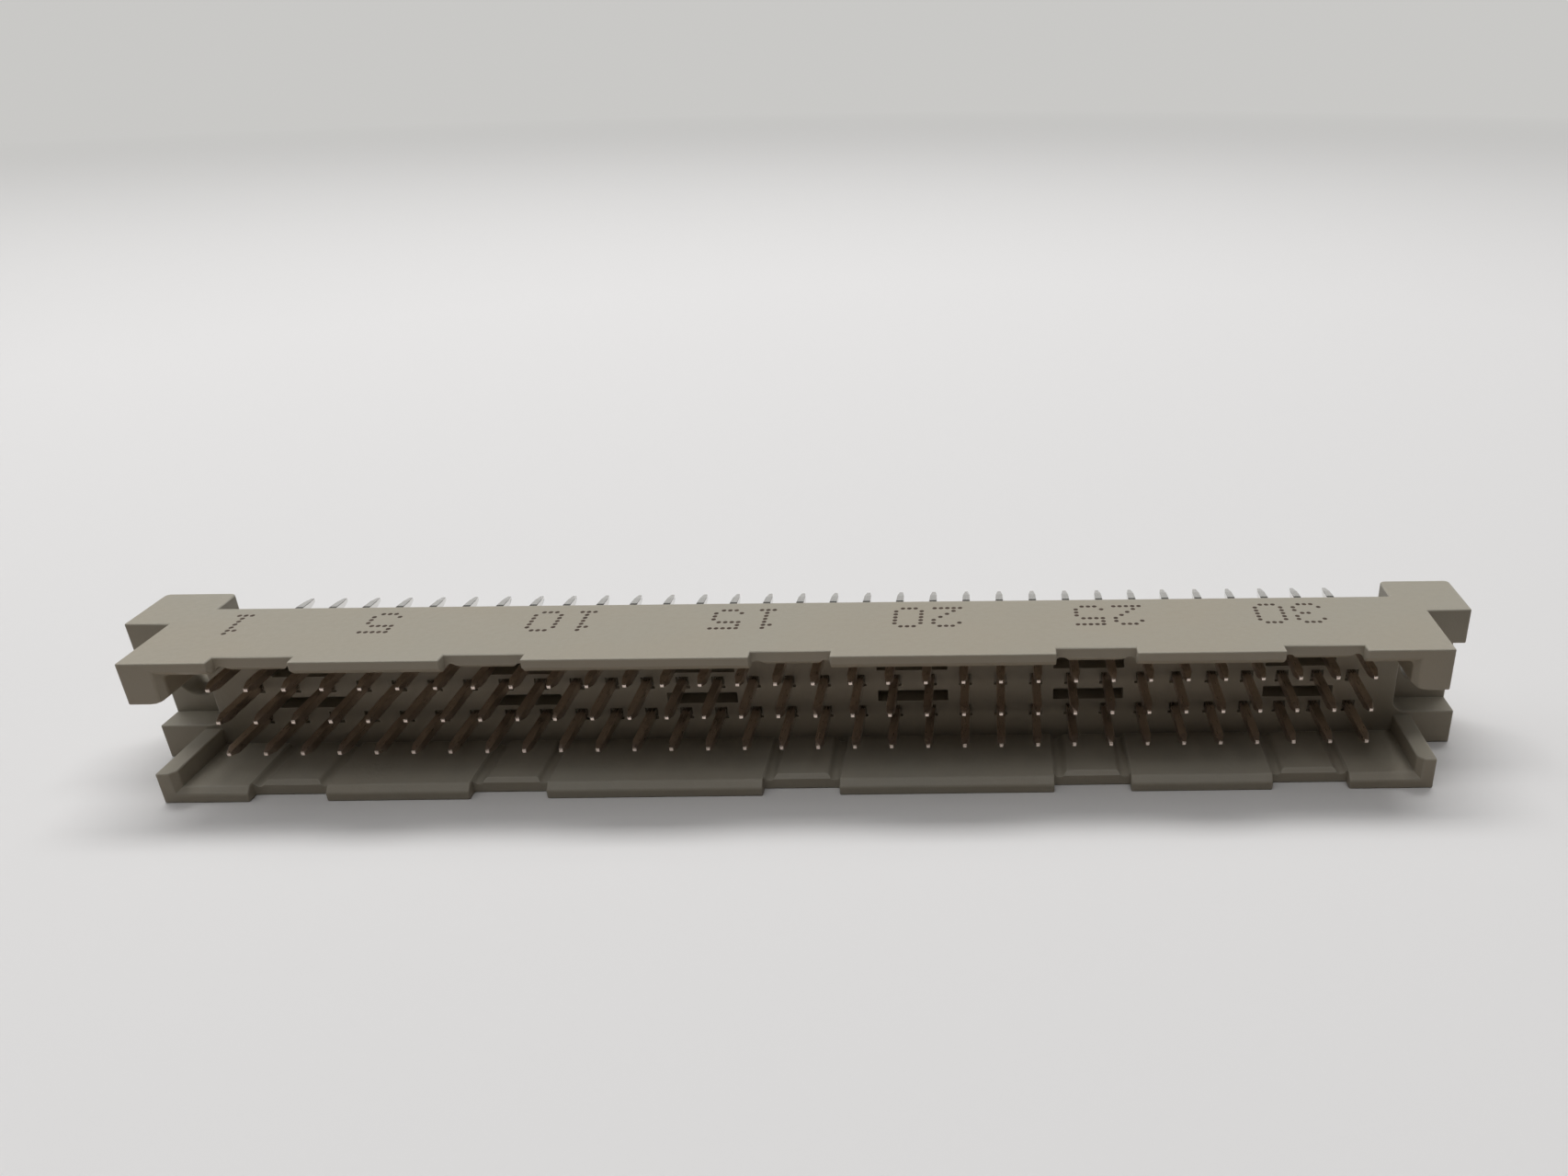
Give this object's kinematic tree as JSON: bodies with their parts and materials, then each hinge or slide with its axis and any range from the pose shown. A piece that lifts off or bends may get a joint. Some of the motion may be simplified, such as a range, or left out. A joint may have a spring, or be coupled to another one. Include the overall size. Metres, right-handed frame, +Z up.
{
  "type": "backplane connector",
  "caption": "Straight shrouded male backplane connector: long moulded housing with a coded mouth, pressed-in square contacts, solder tails behind and a fixing ear at each end.",
  "frame": {"origin": "midway between the two fixing holes, in the ears' rear faces, which meet the board", "axes": "+X along the connector, +Y out of the board face along the solder tails (the mouth opens to -Y), +Z up across the rows, as it lies on its lower long wall"},
  "size_m": [0.0944, 0.015, 0.011],
  "materials": {
    "housing": "matte moulded, grey-beige",
    "contacts": "tin-silver plated, satin"
  },
  "bodies": {
    "root": {"housing": "housing", "contacts_01": "contacts", "contacts_02": "contacts", "contacts_03": "contacts", "contacts_04": "contacts", "contacts_05": "contacts", "contacts_06": "contacts", "contacts_07": "contacts", "contacts_08": "contacts", "contacts_09": "contacts", "contacts_10": "contacts", "contacts_11": "contacts", "contacts_12": "contacts", "contacts_13": "contacts", "contacts_14": "contacts", "contacts_15": "contacts", "contacts_16": "contacts", "contacts_17": "contacts", "contacts_18": "contacts", "contacts_19": "contacts", "contacts_20": "contacts", "contacts_21": "contacts", "contacts_22": "contacts", "contacts_23": "contacts", "contacts_24": "contacts", "contacts_25": "contacts", "contacts_26": "contacts", "contacts_27": "contacts", "contacts_28": "contacts", "contacts_29": "contacts", "contacts_30": "contacts", "contacts_31": "contacts", "contacts_32": "contacts"}
  },
  "joints": []
}
